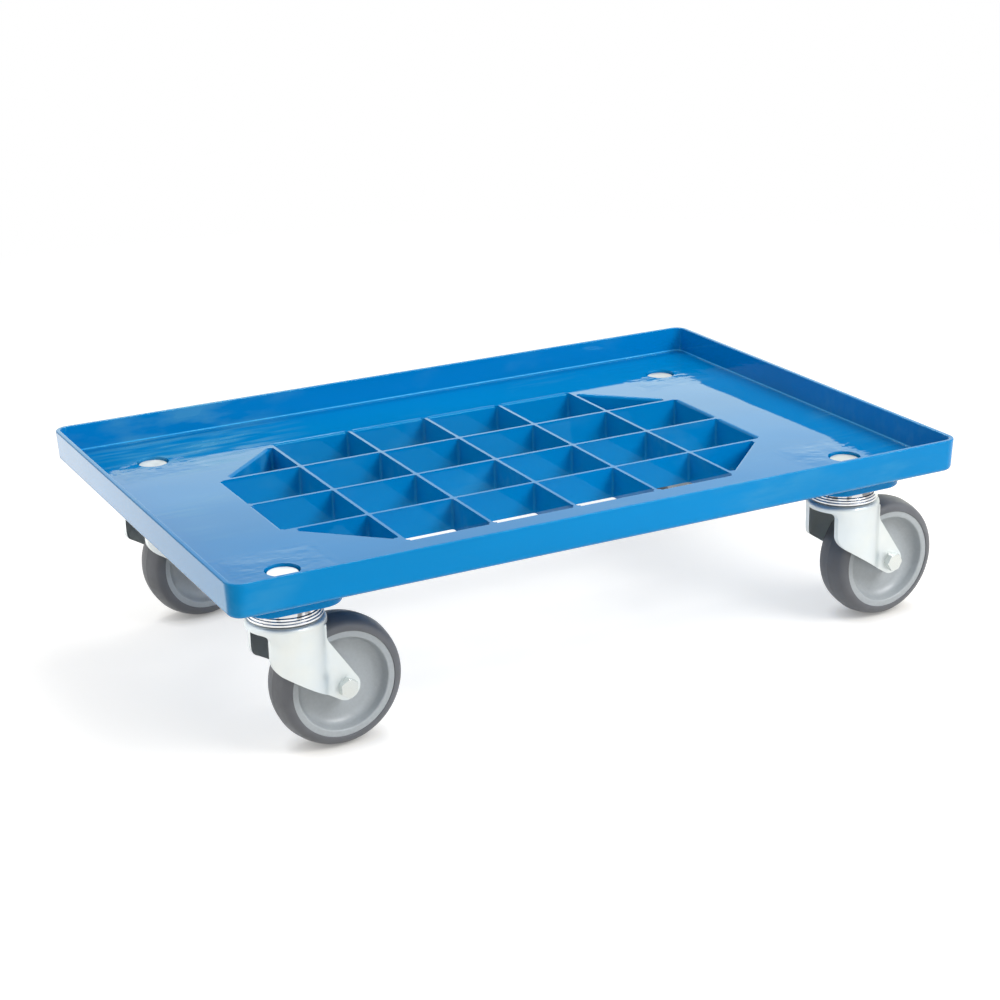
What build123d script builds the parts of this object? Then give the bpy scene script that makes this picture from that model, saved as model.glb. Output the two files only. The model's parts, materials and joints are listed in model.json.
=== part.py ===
"""Crate dolly: a moulded tray on four bolted swivel castors.

The origin is the middle of the load floor's top face, +X along the long side, +Y to the rear, +Z up.
Every castor is drawn in its own frame: the swivel axis is Z, the seat under the deck is Z = 0, and the
wheel trails along +X. Lengths are millimetres, angles are degrees.
"""
from build123d import *
from math import atan2, cos, degrees, hypot, radians, sin, sqrt, tan
import os

# Tray: one moulding with a raised rim
deck_length = 610.0
deck_width = 410.0
deck_corner = 12.0
rim_height = 22.0
rim_wall = 4.0
rim_lean = 3.0
cavity_lean = 1.0
floor_thickness = 4.0
rim_edge_round = 1.0
base_edge_round = 4.0
floor_edge_round = 1.2

# Grid floor: cells cut through the floor, ribs and a skirt hanging below it
grid_columns = 6
grid_rows = 4
grid_end_margin = 91.1
grid_side_margin = 72.2
grid_end_lip = 1.7
corner_land = 5.6
rib_thickness = 2.6
rib_depth = 25.0
skirt_wall = 3.0
cell_corner = 2.0
grid_edge_round = 2.5
gusset_depth = 8.0
gusset_edge_gap = 9.0

# Castor seats: a core tube, a rounded square wall and webs under each corner of the floor
castor_end_inset = 63.0
castor_side_inset = 65.0
seat_depth = 20.2
seat_side = 72.0
seat_corner = 19.0
seat_wall = 3.0
seat_edge_round = 1.5
core_wall = 4.0
web_thickness = 2.5
webs_per_seat = 8

# Castor bolt: flat round head, square neck, thin nut
bolt_radius = 5.0
bolt_head_radius = 11.75
bolt_head_thickness = 3.5
bolt_head_recess = 2.0
bolt_head_chamfer = 0.6
neck_oversize = 0.4
neck_length = 5.0
castor_nut_flats = 16.0
castor_nut_height = 6.0
bolt_end_over_nut = 2.0
nut_chamfer = 0.8

# How each castor stands, and how far its axle bolt is turned
castor_trail = 36.0
castor_headings = {"front_left": 2.4, "front_right": 2.8, "rear_left": 10.0, "rear_right": 4.0}
axle_head_turns = {"front_left": 30.0, "front_right": 0.0, "rear_left": 15.0, "rear_right": 40.0}

# Swivel head: cup, sleeve and dish clamped by the bolt, with two rings of balls
cup_sheet = 2.5
cup_flat_radius = 21.5
cup_foot_radius = 25.0
cup_lip_width = 2.7
cup_bend_round = 4.0
king_sleeve_wall = 3.8
upper_ball_radius = 5.6
upper_ball_count = 8
lower_ball_radius = 2.0
lower_ball_count = 12
race_depth = 0.6
dish_sheet = 2.0
dish_step = 2.9
dish_rim_width = 1.4

# Fork: pressed sheet with a round crown, an open front and two legs
fork_sheet = 3.0
fork_radius = 29.4
crown_skirt = 5.9
crown_shoulder_round = 4.0
notch_round = 4.5
leg_bend_radius = 9.0
leg_front = 21.0
leg_rear = 22.0
leg_front_drop = 45.8
leg_rear_drop = 30.8
leg_front_round = 14.0
leg_rear_round = 9.0
leg_end_radius = 10.6

# Axle: bolt and nut through the legs, with a sleeve between them
axle_radius = 4.0
axle_sleeve_wall = 1.9
axle_head_flats = 13.0
axle_head_height = 5.3
axle_nut_height = 6.5
axle_end_over_nut = 2.0
bush_wall = 2.0
bush_length = 12.0
bush_flange = 1.0
bush_flange_width = 1.5

# Wheel: plastic centre with a rubber tyre
wheel_radius = 50.0
tyre_width = 32.6
tyre_thickness = 9.4
tread_crown = 4.0
tyre_shoulder_round = 7.5
shoulder_to_wall = 1.5
rim_step = 0.7
flange_width = 4.9
wheel_web = 10.2
recess_draft = 14.0
recess_round = 7.0
hub_wall = 2.0

# Clearances
bolt_hole_clearance = 0.2
neck_clearance = 0.15
head_clearance = 1.25
race_clearance = 0.1
cup_lip_gap = 0.8
cup_ball_gap = 0.4
swivel_clearance = 0.3
wheel_top_gap = 1.6
tyre_side_gap = 0.8
axle_hole_clearance = 0.1
bush_clearance = 0.06
hub_side_play = 0.3

# Closeness used when picking out edges
near = 0.01

# Deck places
column_pitch = (deck_length - 2 * grid_end_margin) / grid_columns
row_pitch = (deck_width - 2 * grid_side_margin) / grid_rows
grid_half_length = deck_length / 2 - grid_end_margin - rib_thickness / 2 - grid_end_lip
grid_half_width = deck_width / 2 - grid_side_margin - rib_thickness / 2
cell_length = column_pitch - rib_thickness
end_cell_length = cell_length - grid_end_lip
cell_width = row_pitch - rib_thickness
corner_x = grid_half_length - end_cell_length
corner_y = grid_half_width - cell_width
corner_leg_x = end_cell_length - corner_land * column_pitch / row_pitch
corner_leg_y = cell_width - corner_land * row_pitch / column_pitch
castor_x = deck_length / 2 - castor_end_inset
castor_y = deck_width / 2 - castor_side_inset
castor_places = {
    "front_left": (-castor_x, -castor_y),
    "front_right": (castor_x, -castor_y),
    "rear_left": (-castor_x, castor_y),
    "rear_right": (castor_x, castor_y),
}
head_seat = bolt_head_recess + bolt_head_thickness
socket_radius = bolt_head_radius + head_clearance
core_radius = socket_radius + core_wall
neck_side = 2 * bolt_radius + neck_oversize

# Swivel levels, measured down from the seat: cup, upper balls, crown, lower balls, dish, nut
upper_reach = upper_ball_radius + race_clearance
lower_reach = lower_ball_radius + race_clearance
upper_ball_level = -cup_sheet - upper_reach
crown_top = upper_ball_level - upper_reach + race_depth
crown_under = crown_top - fork_sheet
skirt_end = crown_top - crown_skirt
cup_lip_level = crown_top + cup_lip_gap
lower_ball_level = crown_under + race_depth - lower_reach
dish_floor = lower_ball_level - lower_reach + race_depth
sleeve_end = crown_under - swivel_clearance
nut_top = sleeve_end - dish_sheet
bolt_end = nut_top - castor_nut_height - bolt_end_over_nut

# Swivel radii
bolt_bore = bolt_radius + bolt_hole_clearance
sleeve_radius = bolt_bore + king_sleeve_wall
crown_hole = sleeve_radius + swivel_clearance
cup_slope = atan2(-cup_lip_level - cup_sheet, cup_foot_radius - cup_flat_radius)
cup_side_radius = cup_flat_radius - upper_ball_level / tan(cup_slope) - cup_sheet / sin(cup_slope)
upper_ball_circle = cup_side_radius - upper_ball_radius - cup_ball_gap
lower_ball_circle = sleeve_radius + dish_step + lower_reach

# Axle and wheel places
castor_height = 2 * wheel_radius + wheel_top_gap - skirt_end
axle_height = wheel_radius - castor_height
leg_half_gap = tyre_width / 2 + tyre_side_gap
leg_face = leg_half_gap + fork_sheet
axle_bore = axle_radius + axle_hole_clearance
axle_sleeve_radius = axle_bore + axle_sleeve_wall
bush_bore = axle_sleeve_radius + bush_clearance
bush_radius = bush_bore + bush_wall
hub_radius = bush_radius + hub_wall
hub_half = leg_half_gap - hub_side_play - bush_flange
rim_radius = wheel_radius - tyre_thickness


def turned(*points):
    """A solid of revolution about Z from a closed outline of (radius, height) points."""
    outline = make_face(Polyline(*[(r, 0, z) for r, z in points], close=True))
    return revolve(outline, Axis.Z)


def tube(outer, inner, low, high):
    """A plain ring about Z between two heights."""
    return turned((inner, low), (outer, low), (outer, high), (inner, high))


def rod(radius, low, high):
    """A plain cylinder on Z between two heights."""
    return Pos(0, 0, low) * Cylinder(radius, high - low, align=(Align.CENTER, Align.CENTER, Align.MIN))


def square_bar(side, low, high):
    """A square prism on Z between two heights."""
    return Pos(0, 0, low) * Box(side, side, high - low, align=(Align.CENTER, Align.CENTER, Align.MIN))


def hexagon(flats, low, high):
    """A hexagonal prism on Z with both ends chamfered on a cone."""
    corner = flats / sqrt(3)
    prism = extrude(Pos(0, 0, low) * RegularPolygon(corner, 6), high - low)
    cone = turned(
        (0, low),
        (corner - nut_chamfer, low),
        (corner, low + nut_chamfer / 2),
        (corner, high - nut_chamfer / 2),
        (corner - nut_chamfer, high),
        (0, high),
    )
    return prism & cone


def circles_at(shape, level, beyond):
    """The round edges of a shape at one height and outside one radius."""
    edges = shape.edges().filter_by(GeomType.CIRCLE)
    return [e for e in edges if abs(e.arc_center.Z - level) < near and e.radius > beyond + near]


def ring_of(shape, count, radius, level):
    """Copies of a shape spaced evenly on a circle about Z."""
    return [Rot(0, 0, 360 * i / count) * Pos(radius, 0, level) * shape for i in range(count)]


# Deck
def make_tray():
    """Floor and leaning rim, with rounded edges."""
    top = Pos(0, 0, rim_height)
    outside = extrude(
        top * RectangleRounded(deck_length, deck_width, deck_corner),
        -rim_height - floor_thickness,
        taper=rim_lean,
    )
    inner_length = deck_length - 2 * rim_wall
    inner_width = deck_width - 2 * rim_wall
    cavity = extrude(
        top * RectangleRounded(inner_length, inner_width, deck_corner - rim_wall),
        -rim_height,
        taper=cavity_lean,
    )
    tray = outside - cavity
    tray = fillet(tray.edges().filter_by_position(Axis.Z, -near, near), floor_edge_round)
    tray = fillet(tray.edges().group_by(Axis.Z)[0], base_edge_round)
    return fillet(tray.edges().group_by(Axis.Z)[-1], rim_edge_round)


def grid_outline():
    """The cut-out's eight-sided outline, with a cell's diagonal across each corner."""
    x, y = grid_half_length, grid_half_width
    a, b = x - column_pitch, y - row_pitch
    return Polygon((x, -b), (x, b), (a, y), (-a, y), (-x, b), (-x, -b), (-a, -y), (a, -y), align=None)


def column_middle(column):
    """Where the middle of a column of cells lies along X."""
    return (column - (grid_columns - 1) / 2) * column_pitch


def column_span(column):
    """Middle and length along X of the cells in a column; the floor's lip shortens the end columns."""
    middle = column_middle(column)
    if column in (0, grid_columns - 1):
        inward = 1 if column == 0 else -1
        return middle + inward * grid_end_lip / 2, end_cell_length
    return middle, cell_length


def row_middle(row):
    """Where the middle of a row of cells lies along Y."""
    return (row - (grid_rows - 1) / 2) * row_pitch


def grid_cells():
    """Outlines of every cell of the grid: rectangles, and a triangle at each corner."""
    cells = []
    for column in range(grid_columns):
        for row in range(grid_rows):
            if column in (0, grid_columns - 1) and row in (0, grid_rows - 1):
                continue
            middle, length = column_span(column)
            place = Pos(middle, row_middle(row))
            cells.append(place * RectangleRounded(length, cell_width, cell_corner))
    far_x = corner_x + corner_leg_x
    far_y = corner_y + corner_leg_y
    for sx in (-1, 1):
        for sy in (-1, 1):
            near_x, near_y = sx * corner_x, sy * corner_y
            corners = [(near_x, near_y), (sx * far_x, near_y), (near_x, sy * far_y)]
            if sx * sy < 0:
                corners.reverse()
            triangle = Polygon(*corners, align=None)
            cells.append(fillet(triangle.vertices(), cell_corner))
    return cells


def make_edge_cut(length):
    """What the rounding takes off the floor's edge at the grid, along Y with the floor on the +X side."""
    arc = CenterArc((grid_edge_round, -grid_edge_round), grid_edge_round, 90, 90)
    corner = make_face([Line((0, 0), arc @ 0), arc, Line(arc @ 1, (0, 0))])
    return extrude(Plane.XZ * corner, length / 2, both=True)


def make_edge_cuts():
    """Rounding of the floor's edge all round the grid, one cut for each outer cell."""
    cuts = []
    end_cut = make_edge_cut(cell_width - 2 * cell_corner)
    for row in range(1, grid_rows - 1):
        y = row_middle(row)
        cuts.append(Pos(grid_half_length, y) * end_cut)
        cuts.append(Pos(-grid_half_length, y) * Rot(0, 0, 180) * end_cut)
    side_cut = make_edge_cut(cell_length - 2 * cell_corner)
    for column in range(1, grid_columns - 1):
        x = column_middle(column)
        cuts.append(Pos(x, grid_half_width) * Rot(0, 0, 90) * side_cut)
        cuts.append(Pos(x, -grid_half_width) * Rot(0, 0, -90) * side_cut)
    slope = atan2(corner_leg_y, corner_leg_x)
    start = cell_corner / tan(slope / 2)
    end = hypot(corner_leg_x, corner_leg_y) - cell_corner / tan(radians(45) - slope / 2)
    x = corner_x + corner_leg_x - (start + end) / 2 * cos(slope)
    y = corner_y + (start + end) / 2 * sin(slope)
    diagonal_cut = make_edge_cut(end - start)
    for sx in (-1, 1):
        for sy in (-1, 1):
            outward = degrees(atan2(sy * cos(slope), sx * sin(slope)))
            cuts.append(Pos(sx * x, sy * y) * Rot(0, 0, outward) * diagonal_cut)
    return cuts


def make_gusset(start, end):
    """A tapered plate under the floor, along +X from the grid's skirt towards the rim."""
    wedge = make_face(Polyline((start, 0), (end, 0), (start, -gusset_depth), close=True))
    return Pos(0, 0, -floor_thickness) * extrude(Plane.XZ * wedge, rib_thickness / 2, both=True)


def make_gussets():
    """Gussets that carry each rib of the grid on towards the rim."""
    rim_inset = rim_wall + gusset_edge_gap
    end_plate = make_gusset(grid_half_length + skirt_wall / 2, deck_length / 2 - rim_inset)
    side_plate = make_gusset(grid_half_width + skirt_wall / 2, deck_width / 2 - rim_inset)
    plates = []
    for row in range(1, grid_rows):
        y = (row - grid_rows / 2) * row_pitch
        plates += [Pos(0, y) * end_plate, Pos(0, y) * Rot(0, 0, 180) * end_plate]
    for column in range(1, grid_columns):
        x = (column - grid_columns / 2) * column_pitch
        plates += [Pos(x, 0) * Rot(0, 0, 90) * side_plate, Pos(x, 0) * Rot(0, 0, -90) * side_plate]
    return plates


def make_seat():
    """What hangs under the floor at one castor: core tube, rounded square wall and webs between them."""
    top = -floor_thickness / 2
    height = seat_depth + top
    inner_side = seat_side - 2 * seat_wall
    block = extrude(Pos(0, 0, top) * RectangleRounded(seat_side, seat_side, seat_corner), -height)
    block = fillet(block.edges().group_by(Axis.Z)[0], seat_edge_round)
    inner = RectangleRounded(inner_side, inner_side, seat_corner - seat_wall)
    hollow = extrude(Pos(0, 0, top) * inner, -height)
    web = Box(seat_side, web_thickness, height, align=(Align.MIN, Align.CENTER, Align.MIN))
    inside = rod(core_radius, -seat_depth, top) + ring_of(web, webs_per_seat, core_radius / 2, -seat_depth)
    return (block - hollow) + (inside & block)


def make_deck():
    """The whole moulding: tray, grid, gussets and castor seats."""
    skirt = extrude(offset(grid_outline(), skirt_wall, kind=Kind.INTERSECTION), -rib_depth)
    seat = make_seat()
    seats = [Pos(x, y) * seat for x, y in castor_places.values()]
    deck = make_tray() + skirt + make_gussets() + seats
    socket = rod(socket_radius, -head_seat, 0) + square_bar(neck_side + 2 * neck_clearance, -seat_depth, 0)
    cuts = [extrude(cell, -rib_depth) for cell in grid_cells()] + make_edge_cuts()
    cuts += [Pos(x, y) * socket for x, y in castor_places.values()]
    return deck - cuts


# Castor pieces that stay with the deck
def make_castor_bolt():
    """Flat head, square neck and shank, in the castor's frame."""
    under = seat_depth - head_seat
    head = rod(bolt_head_radius, under, under + bolt_head_thickness)
    head = chamfer(head.edges().group_by(Axis.Z)[-1], bolt_head_chamfer)
    shank = rod(bolt_radius, bolt_end, under)
    shank = chamfer(shank.edges().group_by(Axis.Z)[0], nut_chamfer)
    return head + square_bar(neck_side, under - neck_length, under) + shank


def make_castor_nut():
    """Thin hexagon nut under the dish."""
    return hexagon(castor_nut_flats, nut_top - castor_nut_height, nut_top) - rod(bolt_radius, bolt_end, 0)


def make_top_cup():
    """Pressed cup against the deck: flat top, steep side and a flat lip around its foot."""
    shift = cup_sheet * tan(cup_slope / 2)
    lip_top = cup_lip_level + cup_sheet
    lip_radius = cup_foot_radius + cup_lip_width
    cup = turned(
        (bolt_bore, 0),
        (cup_flat_radius, 0),
        (cup_foot_radius, lip_top),
        (lip_radius, lip_top),
        (lip_radius, cup_lip_level),
        (cup_foot_radius - shift, cup_lip_level),
        (cup_flat_radius - shift, -cup_sheet),
        (bolt_bore, -cup_sheet),
    )
    return fillet(circles_at(cup, 0, bolt_bore), cup_bend_round)


def make_king_sleeve():
    """Tube between the cup and the dish that the fork turns around."""
    return tube(sleeve_radius, bolt_bore, sleeve_end, -cup_sheet)


def make_lower_dish():
    """Pressed dish under the crown that carries the lower balls."""
    floor_start = sleeve_radius + dish_step
    rim = lower_ball_circle + lower_reach + dish_rim_width
    dish = turned(
        (bolt_bore, nut_top),
        (sleeve_radius, nut_top),
        (floor_start, dish_floor - dish_sheet),
        (rim, dish_floor - dish_sheet),
        (rim, dish_floor),
        (floor_start, dish_floor),
        (sleeve_radius, sleeve_end),
        (bolt_bore, sleeve_end),
    )
    return dish - Pos(0, 0, lower_ball_level) * Torus(lower_ball_circle, lower_reach)


# Castor pieces that swivel
def make_crown():
    """Round top of the fork: a plate with a turned-down skirt and the two ball races."""
    inner_radius = fork_radius - fork_sheet
    crown = turned(
        (crown_hole, crown_under),
        (inner_radius, crown_under),
        (inner_radius, skirt_end),
        (fork_radius, skirt_end),
        (fork_radius, crown_top),
        (crown_hole, crown_top),
    )
    crown = fillet(circles_at(crown, crown_top, crown_hole), crown_shoulder_round)
    crown = fillet(circles_at(crown, crown_under, crown_hole), crown_shoulder_round - fork_sheet)
    crown -= Pos(0, 0, upper_ball_level) * Torus(upper_ball_circle, upper_reach)
    return crown - Pos(0, 0, lower_ball_level) * Torus(lower_ball_circle, lower_reach)


def leg_plan():
    """Plan of one leg's sheet: round beside the axis, then an easy bend into a flat leg.

    The sheet starts ahead of the notch and ends behind the axle; the side view trims both.
    """
    bend_y = leg_face + leg_bend_radius
    bend_x = sqrt((fork_radius + leg_bend_radius) ** 2 - bend_y**2)
    bend_angle = degrees(atan2(bend_y, bend_x))
    sweep = 180.0 - bend_angle
    turn = 90.0 - bend_angle
    end_x = castor_trail + 2 * leg_end_radius
    outer_side = CenterArc((0, 0), fork_radius, 180.0, -sweep)
    outer_bend = CenterArc((bend_x, bend_y), leg_bend_radius, 180.0 + bend_angle, turn)
    outer_flat = Line((bend_x, leg_face), (end_x, leg_face))
    end = Line((end_x, leg_face), (end_x, leg_half_gap))
    inner_flat = Line((end_x, leg_half_gap), (bend_x, leg_half_gap))
    inner_bend = CenterArc((bend_x, bend_y), leg_bend_radius + fork_sheet, 270.0, -turn)
    inner_side = CenterArc((0, 0), fork_radius - fork_sheet, bend_angle, sweep)
    front = Line(inner_side @ 1, outer_side @ 0)
    return make_face([outer_side, outer_bend, outer_flat, end, inner_flat, inner_bend, inner_side, front])


def end_tangent(corner, side):
    """Where a line from a side-view corner touches the round leg end, on its front (-1) or rear (1)."""
    dx = castor_trail - corner[0]
    dz = axle_height - corner[1]
    along = sqrt(hypot(dx, dz) ** 2 - leg_end_radius**2)
    angle = atan2(dz, dx) + side * atan2(leg_end_radius, along)
    return corner[0] + along * cos(angle), corner[1] + along * sin(angle)


def leg_outline():
    """Side view of the legs below the skirt: upright edges, drawn in to a round end at the axle."""
    front_corner = (-leg_front, -leg_front_drop)
    rear_corner = (leg_rear, -leg_rear_drop)
    front_touch = end_tangent(front_corner, -1)
    rear_touch = end_tangent(rear_corner, 1)
    notch_edge = (-leg_front - notch_round, skirt_end)
    notch_foot = (-leg_front, skirt_end - notch_round)
    edges = [
        TangentArc(notch_edge, notch_foot, tangent=(1, 0)),
        Line(notch_foot, front_corner),
        Line(front_corner, front_touch),
        TangentArc(front_touch, rear_touch, tangent=Vector(*front_touch) - Vector(*front_corner)),
        Line(rear_touch, rear_corner),
        Line(rear_corner, (leg_rear, skirt_end)),
        Line((leg_rear, skirt_end), notch_edge),
    ]
    face = make_face(edges)
    face = fillet(face.vertices().sort_by_distance(front_corner)[0], leg_front_round)
    return fillet(face.vertices().sort_by_distance(rear_corner)[0], leg_rear_round)


def make_fork():
    """Crown and both legs, with the axle hole."""
    leg = extrude(Pos(0, 0, -castor_height) * leg_plan(), castor_height)
    sides = leg + mirror(leg, about=Plane.XZ)
    outline = extrude(Plane.XZ * leg_outline(), 2 * fork_radius, both=True)
    hole = on_axle(rod(axle_bore, -2 * fork_radius, 2 * fork_radius))
    return make_crown() + (sides & outline) - hole


def on_axle(shape, turn=0.0):
    """Stand a piece drawn on Z along the axle, with +Z turned to the castor's -Y side."""
    return Pos(castor_trail, 0, axle_height) * Rot(90, 0, 0) * Rot(0, 0, turn) * shape


def make_axle_bolt():
    """Hexagon head and shank."""
    head = hexagon(axle_head_flats, leg_face, leg_face + axle_head_height)
    shank = rod(axle_radius, -leg_face - axle_nut_height - axle_end_over_nut, leg_face)
    return head + chamfer(shank.edges().group_by(Axis.Z)[0], nut_chamfer)


def make_axle_nut():
    """Hexagon nut on the far leg."""
    nut = hexagon(axle_head_flats, -leg_face - axle_nut_height, -leg_face)
    return nut - rod(axle_radius, -leg_face - axle_nut_height, -leg_face)


def make_axle_sleeve():
    """Tube clamped between the legs, on which the wheel turns."""
    return tube(axle_sleeve_radius, axle_bore, -leg_half_gap, leg_half_gap)


# Wheel pieces
def make_wheel_bushes():
    """Two flanged bushes, one in each end of the hub."""
    flange_radius = bush_radius + bush_flange_width
    bush = turned(
        (bush_bore, hub_half - bush_length),
        (bush_radius, hub_half - bush_length),
        (bush_radius, hub_half),
        (flange_radius, hub_half),
        (flange_radius, hub_half + bush_flange),
        (bush_bore, hub_half + bush_flange),
    )
    return [bush, mirror(bush, about=Plane.XY)]


def make_wheel_centre():
    """Hub, web and rim, dished on both faces."""
    rim_half = tyre_width / 2 - rim_step
    web_half = wheel_web / 2
    rim_inner = rim_radius - flange_width
    web_outer = rim_inner - (rim_half - web_half) * tan(radians(recess_draft))
    upper = [
        (bush_radius, hub_half),
        (hub_radius, hub_half),
        (hub_radius, web_half),
        (web_outer, web_half),
        (rim_inner, rim_half),
        (rim_radius, rim_half),
    ]
    lower = [(r, -z) for r, z in reversed(upper)]
    centre = turned(*upper, *lower)
    roots = circles_at(centre, web_half, bush_radius) + circles_at(centre, -web_half, bush_radius)
    return fillet(roots, recess_round)


def make_tyre():
    """Crowned tread on a straight bed, with rounded shoulders."""
    half = tyre_width / 2
    edge_radius = wheel_radius - tread_crown
    profile = make_face(
        [
            Line((rim_radius, -half), (edge_radius, -half)),
            ThreePointArc((edge_radius, -half), (wheel_radius, 0), (edge_radius, half)),
            Line((edge_radius, half), (rim_radius, half)),
            Line((rim_radius, half), (rim_radius, -half)),
        ]
    )
    shoulders = profile.vertices().group_by(Axis.X)[-1]
    side_wall = edge_radius - rim_radius
    profile = fillet(shoulders, min(tyre_shoulder_round, shoulder_to_wall * side_wall))
    return revolve(Plane.XZ * profile, Axis.Z)


def save(name, shapes):
    """Write one node as a STEP file."""
    solids = [solid for shape in shapes for solid in shape.solids()]
    export_step(solids[0] if len(solids) == 1 else Compound(children=solids), f"parts/{name}.step")


def main():
    """Write every node: the deck with its bolts and nuts, then the pieces of each castor."""
    os.makedirs("parts", exist_ok=True)
    seats = {name: Pos(x, y, -seat_depth) for name, (x, y) in castor_places.items()}
    bolt = make_castor_bolt()
    nut = make_castor_nut()
    save("deck", [make_deck()])
    save("castor_bolts", [seat * bolt for seat in seats.values()])
    save("castor_nuts", [seat * nut for seat in seats.values()])
    upper_ball = Sphere(upper_ball_radius)
    lower_ball = Sphere(lower_ball_radius)
    pieces = {
        "top_cup": [make_top_cup()],
        "king_sleeve": [make_king_sleeve()],
        "lower_dish": [make_lower_dish()],
        "upper_balls": ring_of(upper_ball, upper_ball_count, upper_ball_circle, upper_ball_level),
        "lower_balls": ring_of(lower_ball, lower_ball_count, lower_ball_circle, lower_ball_level),
        "fork": [make_fork()],
        "axle_sleeve": [on_axle(make_axle_sleeve())],
        "wheel_bushes": [on_axle(bush) for bush in make_wheel_bushes()],
        "wheel_centre": [on_axle(make_wheel_centre())],
        "tyre": [on_axle(make_tyre())],
    }
    axle_bolt = make_axle_bolt()
    axle_nut = make_axle_nut()
    for name, seat in seats.items():
        place = seat * Rot(0, 0, castor_headings[name])
        for piece, shapes in pieces.items():
            save(f"{piece}_{name}", [place * shape for shape in shapes])
        turn = axle_head_turns[name]
        save(f"axle_bolt_{name}", [place * on_axle(axle_bolt, turn)])
        save(f"axle_nut_{name}", [place * on_axle(axle_nut, turn)])


main()
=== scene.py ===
"""Crate dolly: the looks of a moulded tray on four swivel castors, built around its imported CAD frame.

Every object is in metres in the frame's axes: +X along the deck, +Y to the rear, +Z up, and the load
floor's top face at zero. Each piece rides on the CAD body that it belongs to.
"""
import json
import math

import bmesh
import bpy
from bpy.props import FloatProperty, FloatVectorProperty, IntProperty, PointerProperty
from mathutils import Matrix, Vector


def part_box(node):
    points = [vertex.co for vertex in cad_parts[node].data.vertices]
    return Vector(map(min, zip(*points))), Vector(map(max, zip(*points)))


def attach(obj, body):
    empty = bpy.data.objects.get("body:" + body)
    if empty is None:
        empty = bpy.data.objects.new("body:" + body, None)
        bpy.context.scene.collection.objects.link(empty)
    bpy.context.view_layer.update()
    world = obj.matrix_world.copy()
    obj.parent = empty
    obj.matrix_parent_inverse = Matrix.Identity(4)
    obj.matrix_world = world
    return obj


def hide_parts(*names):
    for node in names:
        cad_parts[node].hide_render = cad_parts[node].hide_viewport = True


bl_info = {
    "name": "Crate Dolly",
    "version": (1, 0, 0),
    "blender": (4, 5, 0),
    "location": "View3D > Sidebar > Dolly",
    "description": "Dresses a crate dolly: moulded deck, swivel castors and a studio stage",
    "category": "Object",
}

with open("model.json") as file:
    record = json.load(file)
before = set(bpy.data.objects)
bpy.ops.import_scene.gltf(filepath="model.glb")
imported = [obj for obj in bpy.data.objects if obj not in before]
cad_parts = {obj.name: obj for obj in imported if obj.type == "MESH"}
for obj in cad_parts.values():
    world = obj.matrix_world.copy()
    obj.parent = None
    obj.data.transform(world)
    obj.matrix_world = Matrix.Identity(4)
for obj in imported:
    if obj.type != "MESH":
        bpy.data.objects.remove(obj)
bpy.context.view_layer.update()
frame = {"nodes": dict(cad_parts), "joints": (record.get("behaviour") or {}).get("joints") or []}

CASTORS = ("front_left", "front_right", "rear_left", "rear_right")
MM = 0.001
UP = Vector((0.0, 0.0, 1.0))

roll_joints = {joint["child"]: joint for joint in frame["joints"] if joint["name"].startswith("roll_")}
swivel_joints = {joint["child"]: joint for joint in frame["joints"] if joint["name"].startswith("swivel_")}
ground_level = min(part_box(f"tyre_{castor}")[0].z for castor in CASTORS)

# Meshes: which points merge, which faces are flat, which edges are sharp, and the attribute across a wheel
MERGE_DISTANCE = 1e-6
FLAT_ANGLE = math.radians(0.6)
SHARP_ANGLE = math.radians(32)
SQUARE = None
ACROSS = "across"

# Noise patterns: scale per metre, detail and, where the pattern is stretched, its scale along each axis
FLOW_MARKS = (9.0, 4.0, (0.35, 1.0, 1.6))
SCUFF_PATCHES = (13.0, 4.0, (0.7, 1.0, 1.0))
RUBBED_LINES = (120.0, 5.0, (0.16, 1.0, 0.6))
GLOSS_SMEARS = (24.0, 4.0, (0.4, 1.0, 1.0))
SEAT_WAVES = (88.0, 2.0, (0.8, 1.1, 1.0))
BROKEN_GROOVES = (48.0, 2.0)
FLOOR_WAVES = (11.0, 1.0)
FINE_SCRATCHES = (90.0, 3.0, (0.12, 2.2, 1.0))
MOULD_GRAIN = (1100.0, 2.0)
PLATING_BLOOM = (38.0, 3.0)
PLATING_GRAIN = (700.0, 3.0)
SATIN_CLOUDS = (70.0, 5.0)
FASTENER_CLOUDS = (150.0, 5.0)
BRIGHT_CLOUDS = (40.0, 3.0)
BRIGHT_SMEARS = (120.0, 4.0)
# Painted reflection: dark upright streaks in the polished cups' colour
REFLECTION_STREAKS = (125.0, 2.0, (1.0, 1.0, 0.25))
DRAWN_WAVES = (170.0, 2.0, (1.0, 1.0, 0.25))
GREASE_FILM = (160.0, 3.0)
RUBBER_CLOUDS = (70.0, 4.0)
RUBBER_SMEARS = (240.0, 3.0)
RUBBER_GRAIN = (1800.0, 3.0)
CENTRE_SPECKLE = (420.0, 4.0)
CENTRE_SMEARS = (150.0, 3.0)
CENTRE_GRAIN = (1400.0, 2.0)
BUSH_CLOUDS = (200.0, 3.0)

# Heights of the finest bumps
MOULD_GRAIN_HEIGHT = 0.004 * MM
PLATING_GRAIN_HEIGHT = 0.005 * MM
TREAD_LINE_HEIGHT = 0.006 * MM
CENTRE_GRAIN_HEIGHT = 0.006 * MM
RUBBER_GRAIN_HEIGHT = 0.012 * MM

# Noise values between which a pattern sets in, and how strong it then is
FLOW_EDGE = (0.38, 0.72)
PATCH_EDGE = (0.53, 0.68)
PATCH_STRENGTH = 0.4
LINE_EDGE = (0.42, 0.62)
# The cups' painted reflection streaks: where they set in, how strong, how faint on the rings and how dark
STREAK_EDGE = (0.5, 0.6)
STREAK_STRENGTH = 0.9
STREAK_ON_RINGS = 0.15
STREAK_SHADE = 0.22
GROOVE_DEPTH = 0.2

# Shares of a size between which a mark fades
FOOT_HIGHLIGHT_FADE = (0.45, 0.85)
SEAT_FADE = (0.55, 1.2)
GROOVE_FADE = (0.0, 0.16)
WORN_FADE = (0.4, 1.0)

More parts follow.
